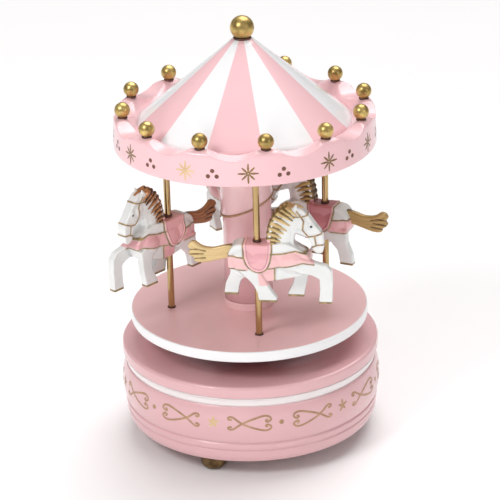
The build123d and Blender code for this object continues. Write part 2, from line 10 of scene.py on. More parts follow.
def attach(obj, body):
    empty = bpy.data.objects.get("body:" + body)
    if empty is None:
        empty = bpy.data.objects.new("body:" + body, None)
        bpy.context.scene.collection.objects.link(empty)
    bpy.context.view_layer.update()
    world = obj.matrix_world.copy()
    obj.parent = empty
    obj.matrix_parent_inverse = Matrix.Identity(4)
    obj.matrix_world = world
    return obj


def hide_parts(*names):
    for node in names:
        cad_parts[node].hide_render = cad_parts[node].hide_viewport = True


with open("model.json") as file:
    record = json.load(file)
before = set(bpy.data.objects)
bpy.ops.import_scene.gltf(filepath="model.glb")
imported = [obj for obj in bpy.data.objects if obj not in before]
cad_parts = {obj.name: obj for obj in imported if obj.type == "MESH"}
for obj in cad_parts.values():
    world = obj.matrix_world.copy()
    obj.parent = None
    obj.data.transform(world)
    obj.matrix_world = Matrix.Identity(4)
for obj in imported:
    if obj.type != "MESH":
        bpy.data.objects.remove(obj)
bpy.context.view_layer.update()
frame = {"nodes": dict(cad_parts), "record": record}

MM = 0.001

# ---------- sizes, in millimetres unless said, and colours
BALL_NODES = [f"rim_ball_{k:02d}" for k in range(1, 13)]
GORE = 30.0                        # degrees from one rim ball to the next
FIRST_GORE = -20.7                 # bearing of the first rim ball, from the front towards the right
RIM_RADIUS, RIM_BOTTOM, CREST_Z, VALLEY_Z = 54.0, 129.0, 142.9, 139.5
GUTTER_RADIUS, GUTTER_Z, VALLEY_CURVE = 44.0, 138.5, 15.0
CANOPY_BOTTOM, CUT_FROM = 136.5, 137.5     # where the rim joins the roof, and where the scallops begin
ROOF_TOP_RADIUS, ROOF_TOP_Z = 4.2, 172.5
BALL_CIRCLE, BALL_RADIUS, BALL_Z, BALL_PIN_BOTTOM = 50.0, 3.2, 146.1, 140.2
FINIAL_RADIUS, FINIAL_Z, FINIAL_RING_TOP = 4.9, 177.1, 173.3
FOOT_COUNT, FOOT_CIRCLE, FOOT_BEARING = 3, 44.0, -22.0
FOOT_TOP, PEG_RADIUS, PEG_TOP = 7.0, 2.0, 11.0
BASE_TOP_Z, RING_TOP, LID_TOP = 33.0, 37.0, 42.0
LID_RADIUS, LID_EDGE, CAVITY_RADIUS, SPINDLE_HOLE = 54.4, 1.4, 48.0, 4.5
BULGE_POINTS = (53.9, 16.9), (54.9, 23.5), (53.2, BASE_TOP_Z)     # foot, widest and top of the drum's band
DISC_BOTTOM, DISC_TOP, DISC_RADIUS = 51.4, 56.0, 50.0
COLUMN_RADIUS, COLUMN_BORE, CEILING_BOTTOM = 10.2, 7.5, 130.0
COLLAR_RADIUS, COLLAR_TOP = 10.6, 59.4
SLEEVE_RADIUS, SLEEVE_CUT_Z, SLEEVE_CUT_RISE = 10.9, 100.8, 4.3
TRIM_HEIGHT, TRIM_PROUD = 1.0, 0.25
POLE_CIRCLE, POLE_RADIUS, POLE_BOTTOM, POLE_TOP = 33.0, 1.35, 52.5, 132.7
HOOF_BOTTOM, HOOF_GILT_TOP, SHIN_TOP = 72.6, 73.45, 80.0
FAR = 9.0                          # a distance that keeps the gilt line away
BODY_VOXEL, HAIR_VOXEL = 0.34, 0.3
SADDLE_RISE, PANEL_DROP, STRAP_RISE, LINE_RISE, GROOVE_DROP = 0.45, 0.18, 0.22, 0.22, 0.18
# painted shade: FOLD_DEPTH sets how deep a fold must be to get the most of it
FOLD_DEPTH = 0.03                  # a fold this deep is fully dusky
# name: bearing of the pole, heading of the horse anticlockwise from +X, its height above the common one,
# and the colours of its saddle, of its hair and of the painted shade in its hair's grooves
RIDES = {
    "front": (6.5, -8.0, 0.0, (0.78, 0.40, 0.43), (0.70, 0.52, 0.25), (0.22, 0.15, 0.05)),
    "right": (96.5, 155.0, 1.3, (0.56, 0.20, 0.23), (0.48, 0.32, 0.12), (0.12, 0.07, 0.025)),
    "back": (186.5, 118.0, -1.2, (0.56, 0.20, 0.23), (0.38, 0.22, 0.08), (0.10, 0.05, 0.02)),
    "left": (-84.0, 227.0, 0.0, (0.78, 0.41, 0.43), (0.42, 0.20, 0.085), (0.085, 0.035, 0.018)),
}
STRAP, STRAP_FRONT = (0.76, 0.40, 0.42), (0.84, 0.50, 0.50)
# the second colour is painted shade: a grey-brown halo beside the gilt lines and in the groove round the
# saddle
GILT, LINE_SHADE = (0.40, 0.27, 0.10), (0.60, 0.50, 0.45)
COAT_LOW, COAT_HIGH = (0.72, 0.74, 0.73), (0.80, 0.81, 0.80)
# the fold grey is painted shade, laid into the horse's folds
FOLD_SHADE, EYE_BLACK = (0.42, 0.43, 0.44), (0.03, 0.04, 0.05)
CLOUD_SHIFT = 0.04                 # change of brightness, either way, in sprayed paint
PRINT_PROUD = 0.05                 # how far a print stands off its surface
STAR_Z, STAR_REACH, STAR_LINE = 134.6, 4.1, 0.84
DOT_Z, DOT_RADIUS = 134.1, 0.88
BAND_Z, BAND_REPEATS, BAND_FIRST = 26.2, 6, -17.0
HEART_TIP, HEART_LOBES, BAND_DOT = 6.6, 24.8, 29.5         # degrees from the middle of a repeat
STAR_BEARINGS = (-58, -26, 1, 37.5, 66, 96, 126, 156, 186, 216, 246, 274)
DOT_BEARINGS = (-44, -14, 16, 50, 81, 111, 141, 171, 201, 231, 260, 288)


# ---------- mesh helpers
def at(radius, bearing, z=0.0):
    """A point in metres from a radius and height in millimetres and a bearing in degrees."""
    turn = radians(bearing)
    return Vector((radius * sin(turn) * MM, -radius * cos(turn) * MM, z * MM))


def linked(name, data):
    """A new object in the scene."""
    obj = bpy.data.objects.new(name, data)
    bpy.context.scene.collection.objects.link(obj)
    return obj


def smooth(mesh):
    """Smooth shading on every face."""
    mesh.polygons.foreach_set("use_smooth", [True] * len(mesh.polygons))


def mesh_object(name, points, faces, material):
    """A new object from points in millimetres, with doubled points merged and faces turned outward."""
    mesh = bpy.data.meshes.new(name)
    mesh.from_pydata([(x * MM, y * MM, z * MM) for x, y, z in points], [], faces)
    smooth(mesh)
    mesh.materials.append(material)
    work = bmesh.new()
    work.from_mesh(mesh)
    bmesh.ops.remove_doubles(work, verts=work.verts, dist=1e-6)
    bmesh.ops.recalc_face_normals(work, faces=work.faces)
    work.to_mesh(mesh)
    work.free()
    return linked(name, mesh)


def rounded(profile, radius, steps=5):
    """An open profile of (r, z) points with each inner corner rounded off."""
    made = [profile[0]]
    for before, corner, after in zip(profile, profile[1:], profile[2:]):
        before, corner, after = Vector(before), Vector(corner), Vector(after)
        reach = min(radius, (before - corner).length * 0.45, (after - corner).length * 0.45)
        start = corner + (before - corner).normalized() * reach
        end = corner + (after - corner).normalized() * reach
        for k in range(steps + 1):
            t = k / steps
            made.append(tuple(start * (1 - t) ** 2 + corner * 2 * t * (1 - t) + end * t ** 2))
    made.append(profile[-1])
    return made


def ring_faces(segments, count):
    """Faces that join closed sections of count points, each to the next and the last to the first."""
    faces = []
    for k in range(segments):
        here, there = k * count, (k + 1) % segments * count
        for j in range(count):
            faces.append((here + j, there + j, there + (j + 1) % count, here + (j + 1) % count))
    return faces


def lathe(name, profile, material, segments=192, centre=(0.0, 0.0)):
    """Turns a closed profile of (r, z) points about a vertical line."""
    points = []
    for k in range(segments):
        turn = 2 * pi * k / segments
        points += [(centre[0] + r * cos(turn), centre[1] + r * sin(turn), z) for r, z in profile]
    return mesh_object(name, points, ring_faces(segments, len(profile)), material)


def arc(centre, radius, start, end, steps):
    """Points of an arc in the (r, z) plane; angles in degrees from outward."""
    return [(centre[0] + radius * cos(radians(start + (end - start) * k / steps)),
             centre[1] + radius * sin(radians(start + (end - start) * k / steps)))
            for k in range(steps + 1)]


def through(points, steps=6, closed=False):
    """A smooth line through 2-D or 3-D points (Catmull-Rom)."""
    given = [np.array(p, float) for p in points]
    if closed:
        given = [given[-1]] + given + given[:2]
    else:
        given = [2 * given[0] - given[1]] + given + [2 * given[-1] - given[-2]]
    made = []
    for a, b, c, d in zip(given, given[1:], given[2:], given[3:]):
        for k in range(steps):
            t = k / steps
            made.append(0.5 * (2 * b + (c - a) * t + (2 * a - 5 * b + 4 * c - d) * t ** 2
                               + (3 * b - a - 3 * c + d) * t ** 3))
    if not closed:
        made.append(given[-2])
    return made


# ---------- materials
def shader(name):
    """A new material, with its node tree and its surface node."""
    material = bpy.data.materials.new(name)
    material.use_nodes = True
    tree = material.node_tree
    return material, tree, tree.nodes["Principled BSDF"]


def feed(tree, socket, value):
    """Gives an input a constant, or links another node's output to it."""
    if isinstance(value, bpy.types.NodeSocket):
        tree.links.new(value, socket)
    else:
        socket.default_value = value


def setup(tree, node, **values):
    """Feeds a node's inputs by name, an underscore standing for a space."""
    for name, value in values.items():
        feed(tree, node.inputs[name.replace("_", " ")], value)


def kept(tree, name):
    """The number that keep() left at every point under a name."""
    node = tree.nodes.new("ShaderNodeAttribute")
    node.attribute_name = name
    return node.outputs["Fac"]


def axes(tree, space="Object"):
    """The X, Y and Z of the piece's own space, or of another."""
    coords = tree.nodes.new("ShaderNodeTexCoord")
    split = tree.nodes.new("ShaderNodeSeparateXYZ")
    setup(tree, split, Vector=coords.outputs[space])
    return split.outputs


def math_node(tree, operation, a, b=None):
    """A sum on one or two numbers or node outputs."""
    node = tree.nodes.new("ShaderNodeMath")
    node.operation = operation
    feed(tree, node.inputs[0], a)
    if b is not None:
        feed(tree, node.inputs[1], b)
    return node.outputs[0]


def mix_colour(tree, share, first, second):
    """Colour between first (share 0) and second (share 1); each is a value or another node's output."""
    node = tree.nodes.new("ShaderNodeMix")
    node.data_type = "RGBA"
    factor, a, b = node.inputs[0], node.inputs[6], node.inputs[7]
    for socket, value in ((factor, share), (a, first), (b, second)):
        feed(tree, socket, (*value, 1) if isinstance(value, tuple) else value)
    return node.outputs[2]


def noise(tree, scale, detail=4.0):
    """Noise in the piece's own space; scale in features per metre."""
    coords = tree.nodes.new("ShaderNodeTexCoord")
    node = tree.nodes.new("ShaderNodeTexNoise")
    setup(tree, node, Vector=coords.outputs["Object"], Scale=scale, Detail=detail)
    return node.outputs["Fac"]


def bump(tree, surface, height, distance, strength):
    """Roughens the surface's normal by a height; distance in metres."""
    node = tree.nodes.new("ShaderNodeBump")
    setup(tree, node, Height=height, Distance=distance, Strength=strength)
    setup(tree, surface, Normal=node.outputs["Normal"])


def ramp(tree, value, low, high, start, end):
    """Maps value from low..high to start..end."""
    node = tree.nodes.new("ShaderNodeMapRange")
    setup(tree, node, Value=value, From_Min=low, From_Max=high, To_Min=start, To_Max=end)
    return node.outputs["Result"]


def finish_paint(tree, surface, colour, roughness, coat=0.5):
    """Glossy sprayed paint: slight colour clouds, orange-peel bump and uneven gloss."""
    clouds = noise(tree, 60, 3.0)
    light = tree.nodes.new("ShaderNodeHueSaturation")
    value = ramp(tree, clouds, 0.0, 1.0, 1 - CLOUD_SHIFT, 1 + CLOUD_SHIFT)
    setup(tree, light, Value=value, Color=(*colour, 1) if isinstance(colour, tuple) else colour)
    gloss = ramp(tree, noise(tree, 220), 0.0, 1.0, roughness - 0.04, roughness + 0.06)
    setup(tree, surface, Base_Color=light.outputs["Color"], Roughness=gloss, Coat_Weight=coat,
          Coat_Roughness=0.12)
    bump(tree, surface, noise(tree, 900, 1.0), 0.00002, 0.3)


def paint(name, colour, roughness=0.3, coat=0.6):
    """Sprayed paint of one colour."""
    material, tree, surface = shader(name)
    finish_paint(tree, surface, colour, roughness, coat)
    return material


def gored_paint(name, first, second):
    """Roof paint: gores of two colours by the bearing about the axis."""
    material, tree, surface = shader(name)
    axis = axes(tree)
    forward = math_node(tree, "MULTIPLY", axis["Y"], -1.0)
    turn = math_node(tree, "ARCTAN2", axis["X"], forward)
    offset = radians(-FIRST_GORE) + 4 * pi
    shifted = math_node(tree, "ADD", turn, offset)
    gores = math_node(tree, "DIVIDE", shifted, radians(2 * GORE))
    share = math_node(tree, "FRACT", gores)
    colour = mix_colour(tree, math_node(tree, "GREATER_THAN", share, 0.5), first, second)
    finish_paint(tree, surface, colour, 0.3)
    return material


def gilding(name, bright, wear_and_shade, roughness, metallic):
    """Antique gold: dark patches in a metallic paint, with fine grain."""
    material, tree, surface = shader(name)
    patches = ramp(tree, noise(tree, 260, 6.0), 0.35, 0.68, 0.0, 1.0)
    gloss = ramp(tree, noise(tree, 900), 0.3, 0.7, roughness - 0.08, roughness + 0.1)
    setup(tree, surface, Base_Color=mix_colour(tree, patches, wear_and_shade, bright), Metallic=metallic,
          Roughness=gloss)
    bump(tree, surface, noise(tree, 1500, 3.0), 0.00005, 0.4)
    return material


def drawn_metal(name, colour, roughness):
    """Drawn or turned metal: streaks along the piece's height."""
    material, tree, surface = shader(name)
    coords = tree.nodes.new("ShaderNodeTexCoord")
    stretch = tree.nodes.new("ShaderNodeMapping")
    setup(tree, stretch, Vector=coords.outputs["Object"], Scale=(1, 1, 0.02))
    streaks = tree.nodes.new("ShaderNodeTexNoise")
    setup(tree, streaks, Vector=stretch.outputs["Vector"], Scale=3000)
    tarnish = ramp(tree, noise(tree, 120, 5.0), 0.35, 0.75, 0.0, 0.5)
    dulled = tuple(c * 0.55 for c in colour)
    gloss = ramp(tree, streaks.outputs["Fac"], 0.3, 0.7, roughness - 0.07, roughness + 0.12)
    setup(tree, surface, Base_Color=mix_colour(tree, tarnish, colour, dulled), Metallic=1.0, Roughness=gloss)
    bump(tree, surface, streaks.outputs["Fac"], 0.00003, 0.3)
    return material


def fibreboard(name):
    """Bare board seen under the base and in the canopy: fibres and specks."""
    material, tree, surface = shader(name)
    fibres = noise(tree, 900, 8.0)
    colour = mix_colour(tree, fibres, (0.42, 0.27, 0.16), (0.62, 0.45, 0.29))
    setup(tree, surface, Base_Color=colour, Roughness=0.75)
    bump(tree, surface, fibres, 0.0001, 0.5)
    return material


def hair_paint(name, bright, wear_and_shade):
    """Painted hair: gold, darker along the grooves by the piece's own groove attribute; the darkening is
    painted shade.
    """
    material, tree, surface = shader(name)
    # painted shade: the hair takes the darker colour along the grooves
    brushed = math_node(tree, "ADD", kept(tree, "groove"),
                        ramp(tree, noise(tree, 500, 5.0), 0.3, 0.7, -0.18, 0.18))
    depth = ramp(tree, brushed, 0.25, 0.75, 0.0, 1.0)
    setup(tree, surface, Base_Color=mix_colour(tree, depth, bright, wear_and_shade), Metallic=0.35, Roughness=0.36,
          Coat_Weight=0.3)
    bump(tree, surface, noise(tree, 800), 0.00008, 0.4)
    return material


def horse_paint(name, saddle, strap, gilt, line_shade):
    """Horse body: white, with pink tack and gilt lines chosen by signed distances kept on the mesh; painted
    shade in the folds and beside the lines.
    """
    material, tree, surface = shader(name)

    def inside(attribute, edge=0.0, soft=0.06):
        """1 where the kept distance is below the edge, 0 above it."""
        return ramp(tree, kept(tree, attribute), edge + soft, edge - soft, 0.0, 1.0)

    shade = ramp(tree, noise(tree, 90, 3.0), 0.3, 0.7, 0.0, 1.0)
    colour = mix_colour(tree, shade, COAT_LOW, COAT_HIGH)
    # painted shade: greyer the deeper the point lies in a fold
    fold_shade = ramp(tree, kept(tree, "fold"), 0.05, 1.0, 0.0, 0.75)
    colour = mix_colour(tree, fold_shade, colour, FOLD_SHADE)
    colour = mix_colour(tree, inside("strap"), colour, strap)
    colour = mix_colour(tree, inside("saddle"), colour, saddle)
    piping = tuple(min(1, c * 1.16 + 0.02) for c in saddle)
    colour = mix_colour(tree, inside("border"), colour, piping)
    colour = mix_colour(tree, inside("seam", 0.17, 0.08), colour, tuple(c * 0.55 for c in saddle))
    # painted shade: a grey-brown halo beside the gilt lines and in the groove round the saddle
    colour = mix_colour(tree, inside("line_shade", 0.45, 0.2), colour, line_shade)
    leaf = ramp(tree, noise(tree, 420, 3.0), 0.42, 0.62, 0.0, 1.0)
    gilt_now = mix_colour(tree, leaf, tuple(c * 0.5 for c in gilt), gilt)
    colour = mix_colour(tree, inside("line", 0.27, 0.07), colour, gilt_now)
    colour = mix_colour(tree, inside("eye", 0.0, 0.05), colour, EYE_BLACK)
    finish_paint(tree, surface, colour, 0.28, 0.7)
    return material


def layered_disc():
    """Disc paint: dusky pink with a white band on the edge."""
    material, tree, surface = shader("disc_paint")
    axis = axes(tree)
    flat = tree.nodes.new("ShaderNodeVectorMath")
    flat.operation = "LENGTH"
    level = tree.nodes.new("ShaderNodeCombineXYZ")
    setup(tree, level, X=axis["X"], Y=axis["Y"])
    feed(tree, flat.inputs[0], level.outputs[0])
    at_edge = math_node(tree, "GREATER_THAN", flat.outputs["Value"], (DISC_RADIUS - 0.4) * MM)
    colour = mix_colour(tree, at_edge, DUSKY, WHITE)
    finish_paint(tree, surface, colour, 0.3)
    return material


PINK = (0.86, 0.53, 0.56)
# the base's pink is the pink made darker: painted shade
SHADED_PINK = (0.74, 0.44, 0.46)
DUSKY = (0.83, 0.52, 0.53)
WHITE = (0.86, 0.86, 0.87)
pink = paint("pink_paint", PINK)
shaded_pink = paint("base_pink_painted_shade", SHADED_PINK)
# the sleeve's pink is the pink made lighter: painted light on the sleeve under the canopy
lit_sleeve_pink = paint("sleeve_pink_painted_light", (0.95, 0.65, 0.68))
dusky = paint("dusky_pink_paint", DUSKY, 0.34, 0.4)
white = paint("white_paint", WHITE)
cove_white = paint("cove_paint", (0.84, 0.79, 0.79))
roof_paint = gored_paint("striped_paint", PINK, WHITE)
disc_paint = layered_disc()
antique = gilding("antique_gold", (0.74, 0.55, 0.20), (0.34, 0.23, 0.075), 0.34, 0.85)
foot_gold = gilding("foot_gold", (0.26, 0.17, 0.07), (0.09, 0.05, 0.02), 0.36, 0.7)
print_gold = gilding("printed_gold", (0.52, 0.33, 0.19), (0.40, 0.23, 0.13), 0.4, 0.3)
# a lighter gold, used only to paint highlights on four of the printed stars
highlight_gold = gilding("printed_gold_painted_highlight", (0.80, 0.62, 0.34), (0.66, 0.46, 0.22), 0.4, 0.35)
foil = gilding("printed_foil", (0.30, 0.20, 0.08), (0.20, 0.12, 0.05), 0.3, 0.5)
brown_print = gilding("printed_brown", (0.22, 0.10, 0.06), (0.14, 0.06, 0.04), 0.45, 0.15)
brass = drawn_metal("brass", (0.52, 0.36, 0.17), 0.2)
# a darker, rougher brass for the bush under the disc; its darkness is painted shade
shaded_brass = drawn_metal("shaded_brass", (0.22, 0.14, 0.07), 0.55)
steel = drawn_metal("steel", (0.55, 0.55, 0.56), 0.3)
zinc = drawn_metal("cast_zinc", (0.45, 0.45, 0.46), 0.45)
dark = gilding("dark_metal", (0.16, 0.07, 0.05), (0.06, 0.03, 0.025), 0.35, 0.3)
black = paint("black_plastic", (0.03, 0.03, 0.03), 0.5, 0.0)
board = fibreboard("raw_wood")

BY_SLOT = {
    "pink_paint": pink, "dusky_pink_paint": dusky, "white_paint": white, "striped_paint": roof_paint,
    "antique_gold": antique, "brass": brass, "steel": steel, "cast_zinc": zinc, "dark_metal": dark,
    "black_plastic": black, "raw_wood": board, "horse_paint": white,
}


def finish_cad():
    """Gives every CAD node the finish of its slot; the brass bush at the top gets a darker, rougher brass,
    its darkness painted shade.
    """
    for part in frame["record"]["subparts"]:
        node = frame["nodes"][part["node"]]
        node.data.materials.clear()
        finish = shaded_brass if part["node"] == "top_bush" else BY_SLOT[part["material_slot"]]
        node.data.materials.append(finish)


def place(obj, body, slot, *nodes):
    """The piece rides on a body and stands for CAD nodes, which it hides; the slot is not used."""
    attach(obj, body)
    if nodes:
        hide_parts(*nodes)


# ---------- base
def bulge(z):
    """Outer radius of the drum's band, by the arc through its foot, its widest point and its top."""
    (x1, y1), (x2, y2), (x3, y3) = BULGE_POINTS
    d = 2 * (x1 * (y2 - y3) + x2 * (y3 - y1) + x3 * (y1 - y2))
    s1, s2, s3 = x1 * x1 + y1 * y1, x2 * x2 + y2 * y2, x3 * x3 + y3 * y3
    cx = (s1 * (y2 - y3) + s2 * (y3 - y1) + s3 * (y1 - y2)) / d
    cy = (s1 * (x3 - x2) + s2 * (x1 - x3) + s3 * (x2 - x1)) / d
    return cx + sqrt((x1 - cx) ** 2 + (y1 - cy) ** 2 - (z - cy) ** 2)


def build_drum():
    """The drum with its lip, bead and bulged band, the white cove ring and the lid."""
    lip = rounded([(38.0, 7.0), (51.0, 7.0), (52.5, 7.7), (53.4, 9.8), (53.6, 12.3), (53.1, 12.9)], 0.5)
    bead = rounded([(53.1, 12.9), (53.75, 13.5), (53.95, 14.7), (53.9, 15.8), (53.2, 16.4)], 0.5)
    heights = np.linspace(BULGE_POINTS[0][1], BASE_TOP_Z - 0.25, 24)
    band = [(bulge(z), z) for z in heights]
    inner = [(53.0, BASE_TOP_Z), (CAVITY_RADIUS, BASE_TOP_Z), (CAVITY_RADIUS, 12.0), (34.0, 12.0),
             (34.0, 10.0), (38.0, 10.0)]
    # painted shade: the drum and the lid take the darkened pink
    drum = lathe("drum_shell", lip + bead[1:] + band + inner, shaded_pink)
    place(drum, "base", "pink_paint", "base_drum")
    cove = [(53.0, BASE_TOP_Z)] + arc((56.6, 34.4), 3.35, 190, 140, 8)[1:] + [(54.2, 36.6), (54.25, 36.95)]
    ring = lathe("cove_ring", cove + [(CAVITY_RADIUS, RING_TOP), (CAVITY_RADIUS, BASE_TOP_Z)], cove_white)
    place(ring, "base", "white_paint", "base_ring")
    edge_bottom = LID_TOP - LID_EDGE
    spigot = [(42.0, RING_TOP), (42.0, 34.0), (47.9, 34.0), (47.9, RING_TOP)]
    side = rounded([(53.9, RING_TOP), (LID_RADIUS, 37.3), (LID_RADIUS, edge_bottom)], 0.3)
    edge = arc((LID_RADIUS - LID_EDGE, edge_bottom), LID_EDGE, 0, 90, 8)
    lid = lathe("lid_shell", [(SPINDLE_HOLE, RING_TOP)] + spigot + side + edge[1:]
                + [(50.0, LID_TOP), (SPINDLE_HOLE, LID_TOP)], shaded_pink)
    place(lid, "base", "pink_paint", "base_lid")


def build_feet():
    """Three turned feet, each with its peg."""
    turning = rounded([(0.01, 0.0), (3.63, 0.0), (5.3, 1.8), (5.5, 3.5), (5.2, 5.3), (4.5, FOOT_TOP)], 1.2)
    peg = [(PEG_RADIUS, FOOT_TOP), (PEG_RADIUS, PEG_TOP), (0.0, PEG_TOP)]
    profile = [(0.0, 0.0)] + turning[1:] + peg
    for k in range(FOOT_COUNT):
        x, y, _ = at(FOOT_CIRCLE, FOOT_BEARING + 360 / FOOT_COUNT * k) / MM
        foot = lathe(f"turned_foot_{k + 1}", profile, foot_gold, 64, (x, y))
        place(foot, "base", "antique_gold", f"foot_{k + 1}")


# ---------- printed decoration
def printed(surface, bearing, z):
    """A point of a print on a round surface, whose radius is surface(z)."""
    return tuple(at(surface(z) + PRINT_PROUD, bearing, z) / MM)


def ribbon(points, width, surface):
    """A flat printed line through points, each (bearing in degrees, z)."""
    line = [np.array(p, float) for p in points]
    made, faces = [], []
    for k, p in enumerate(line):
        before, after = line[max(k - 1, 0)], line[min(k + 1, len(line) - 1)]
        radius = surface(p[1])
        scale = np.array([radians(radius), 1.0])
        along = (after - before) * scale
        along /= max(np.linalg.norm(along), 1e-9)
        side = np.array([-along[1], along[0]]) / scale
        share = min(1.0, 0.5 + 0.5 * min(k, len(line) - 1 - k) / 2)
        for sign in (-1, 1):
            q = p + sign * side * width * share / 2
            made.append(printed(surface, q[0], q[1]))
    for k in range(len(line) - 1):
        faces.append((2 * k, 2 * k + 1, 2 * k + 3, 2 * k + 2))
    return made, faces


def spot(bearing, z, radius, surface, count=14):
    """A printed dot."""
    reach = radius / radians(surface(z))
    made = [printed(surface, bearing, z)]
    for k in range(count):
        turn = 2 * pi * k / count
        h = z + radius * sin(turn)
        made.append(printed(surface, bearing + reach * cos(turn), h))
    return made, [(0, k + 1, (k + 1) % count + 1) for k in range(count)]


def star(bearing, z, rays, length, width, surface, turn=0.0):
    """A printed star of thin rays; returns the (points, faces) of every ray."""
    parts = []
    for k in range(rays):
        angle = radians(turn + 360 * k / rays)
        scale = radians(surface(z))
        step = np.array([cos(angle) / scale, sin(angle)])
        reach = length * (1.0 if k % 2 == 0 else 0.86)
        line = [np.array([bearing, z]) + step * reach * t for t in (0.06, 0.3, 0.55, 0.8, 1.0)]
        parts.append(ribbon(line, width, surface))
    return parts


def join_parts(name, parts, material):
    """One object from several (points, faces)."""
    points, faces = [], []
    for made, own_faces in parts:
        start = len(points)
        points += made
        faces += [tuple(start + v for v in face) for face in own_faces]
    return mesh_object(name, points, faces, material)


def heart(tip, lobes, z):
    """Lines of a heart on its side, from the bearing of its curly tip to that of its two lobes."""
    span = lobes - tip
    upper = [(0.09, -1.75), (0.045, -1.5), (0.0, -1.9), (0.01, -2.5), (0.07, -2.75), (0.14, -2.3),
             (0.2, -1.5), (0.27, -0.65), (0.33, 0.0), (0.40, 0.6), (0.5, 1.35), (0.62, 2.1), (0.74, 2.75),
             (0.85, 3.15), (0.94, 3.0), (1.0, 2.3), (1.01, 1.5), (0.97, 0.85), (0.92, 0.6), (0.885, 0.95),
             (0.9, 1.45), (0.94, 1.55)]
    return [through([(tip + span * u, z + sign * v) for u, v in upper], 5) for sign in (1, -1)]


def build_band():
    """Round the drum: heart pairs tip to tip about a star, with a dot between the lobes of two pairs."""
    z = BAND_Z
    for k in range(BAND_REPEATS):
        middle = BAND_FIRST + 360 / BAND_REPEATS * k
        lines = []
        for sign in (-1, 1):
            lines += heart(middle + sign * HEART_TIP, middle + sign * HEART_LOBES, z)
        parts = [ribbon(line, 0.85, bulge) for line in lines]
        parts.append(spot(middle + BAND_DOT, z, 1.0, bulge))
        place(join_parts(f"band_print_{k + 1}", parts, print_gold), "base", "antique_gold")
        # painted highlight: two of the band's stars take the lighter gold, as if catching the light
        tone = highlight_gold if k in (0, 3) else print_gold
        middle_star = join_parts(f"band_star_{k + 1}", star(middle, z, 5, 2.6, 1.1, bulge, 90), tone)
        place(middle_star, "base", "antique_gold")


def rim_wall(z):
    """Outer radius of the canopy's upright band."""
    return RIM_RADIUS - 0.4 * max(0.0, z - RIM_BOTTOM - 0.8) / (CREST_Z - RIM_BOTTOM - 2.8)


def build_rim_print():
    """On the canopy's band: a star near each crest, and three dots between each two stars."""
    dull, bright = [], []
    for k, bearing in enumerate(STAR_BEARINGS):
        # painted highlight: the second and eighth stars take the lighter gold, as if catching the light
        shown = bright if k % 6 == 1 else dull
        shown += star(bearing, STAR_Z, 8, STAR_REACH, STAR_LINE, rim_wall)
    place(join_parts("rim_stars", dull, foil), "carousel", "antique_gold")
    place(join_parts("rim_stars_painted_highlight", bright, highlight_gold), "carousel", "antique_gold")
    parts = []
    scale = radians(rim_wall(134.0))       # millimetres along the band to a degree
    for bearing in DOT_BEARINGS:
        for du, dz in ((0.0, 1.45), (-1.75, -0.85), (1.75, -0.75)):
            parts.append(spot(bearing + du / scale, DOT_Z + dz, DOT_RADIUS, rim_wall))
    place(join_parts("rim_dots", parts, brown_print), "carousel", "antique_gold")


# ---------- canopy
def build_canopy():
    """The scalloped rim: one section swept round, cut down to a round valley between crests."""
    inner = RIM_RADIUS - 2.5
    section = [(inner, CANOPY_BOTTOM), (inner, RIM_BOTTOM + 0.2), (inner + 0.3, RIM_BOTTOM)]
    section += arc((RIM_RADIUS - 0.7, RIM_BOTTOM + 0.7), 0.7, -90, 0, 6)
    section += [(rim_wall(z), z) for z in (131.5, 133.5, 135.5, 137.0, 138.2, 139.2, 140.0, 140.9)]
    section += [(53.45, 141.6), (53.0, 142.1), (52.3, 142.55), (51.4, 142.85), (50.4, 142.95), (49.3, 142.7),
                (48.2, 142.1), (47.2, 141.2), (46.3, 140.2), (45.4, 139.3), (44.6, 138.7),
                (GUTTER_RADIUS, GUTTER_Z), (GUTTER_RADIUS, CANOPY_BOTTOM)]
    segments, soft = 720, 0.35
    points = []
    for k in range(segments):
        bearing = 360 * k / segments
        away = abs((bearing - FIRST_GORE) % GORE - GORE / 2)
        for r, z in section:
            side = r * radians(away)
            reach = min(side, VALLEY_CURVE - 0.5)
            cut = VALLEY_Z + VALLEY_CURVE - sqrt(VALLEY_CURVE ** 2 - reach ** 2)
            if z > CUT_FROM:
                h = max(soft - abs(z - cut), 0.0) / soft
                z = min(z, cut) - h * h * soft * 0.25
            points.append(tuple(at(r, bearing, z) / MM))
    rim = mesh_object("scalloped_rim", points, ring_faces(segments, len(section)), pink)
    place(rim, "carousel", "pink_paint", "canopy_rim")

    slope = [(GUTTER_RADIUS + (ROOF_TOP_RADIUS - GUTTER_RADIUS) * t, GUTTER_Z + (ROOF_TOP_Z - GUTTER_Z) * t)
             for t in np.linspace(0, 1, 24)]
    underside = [(2.0, ROOF_TOP_Z), (2.0, 170.3), (4.2, 169.7), (41.8, CANOPY_BOTTOM),
                 (GUTTER_RADIUS, CANOPY_BOTTOM)]
    roof = lathe("gored_roof", slope + underside, roof_paint, 360)
    place(roof, "carousel", "striped_paint", "canopy_roof")


def ball_profile(z, radius):
    """Half a circle from the bottom of a ball to its top."""
    return [(radius * cos(radians(a)), z + radius * sin(radians(a)))
            for a in range(-90, 91, 6)]


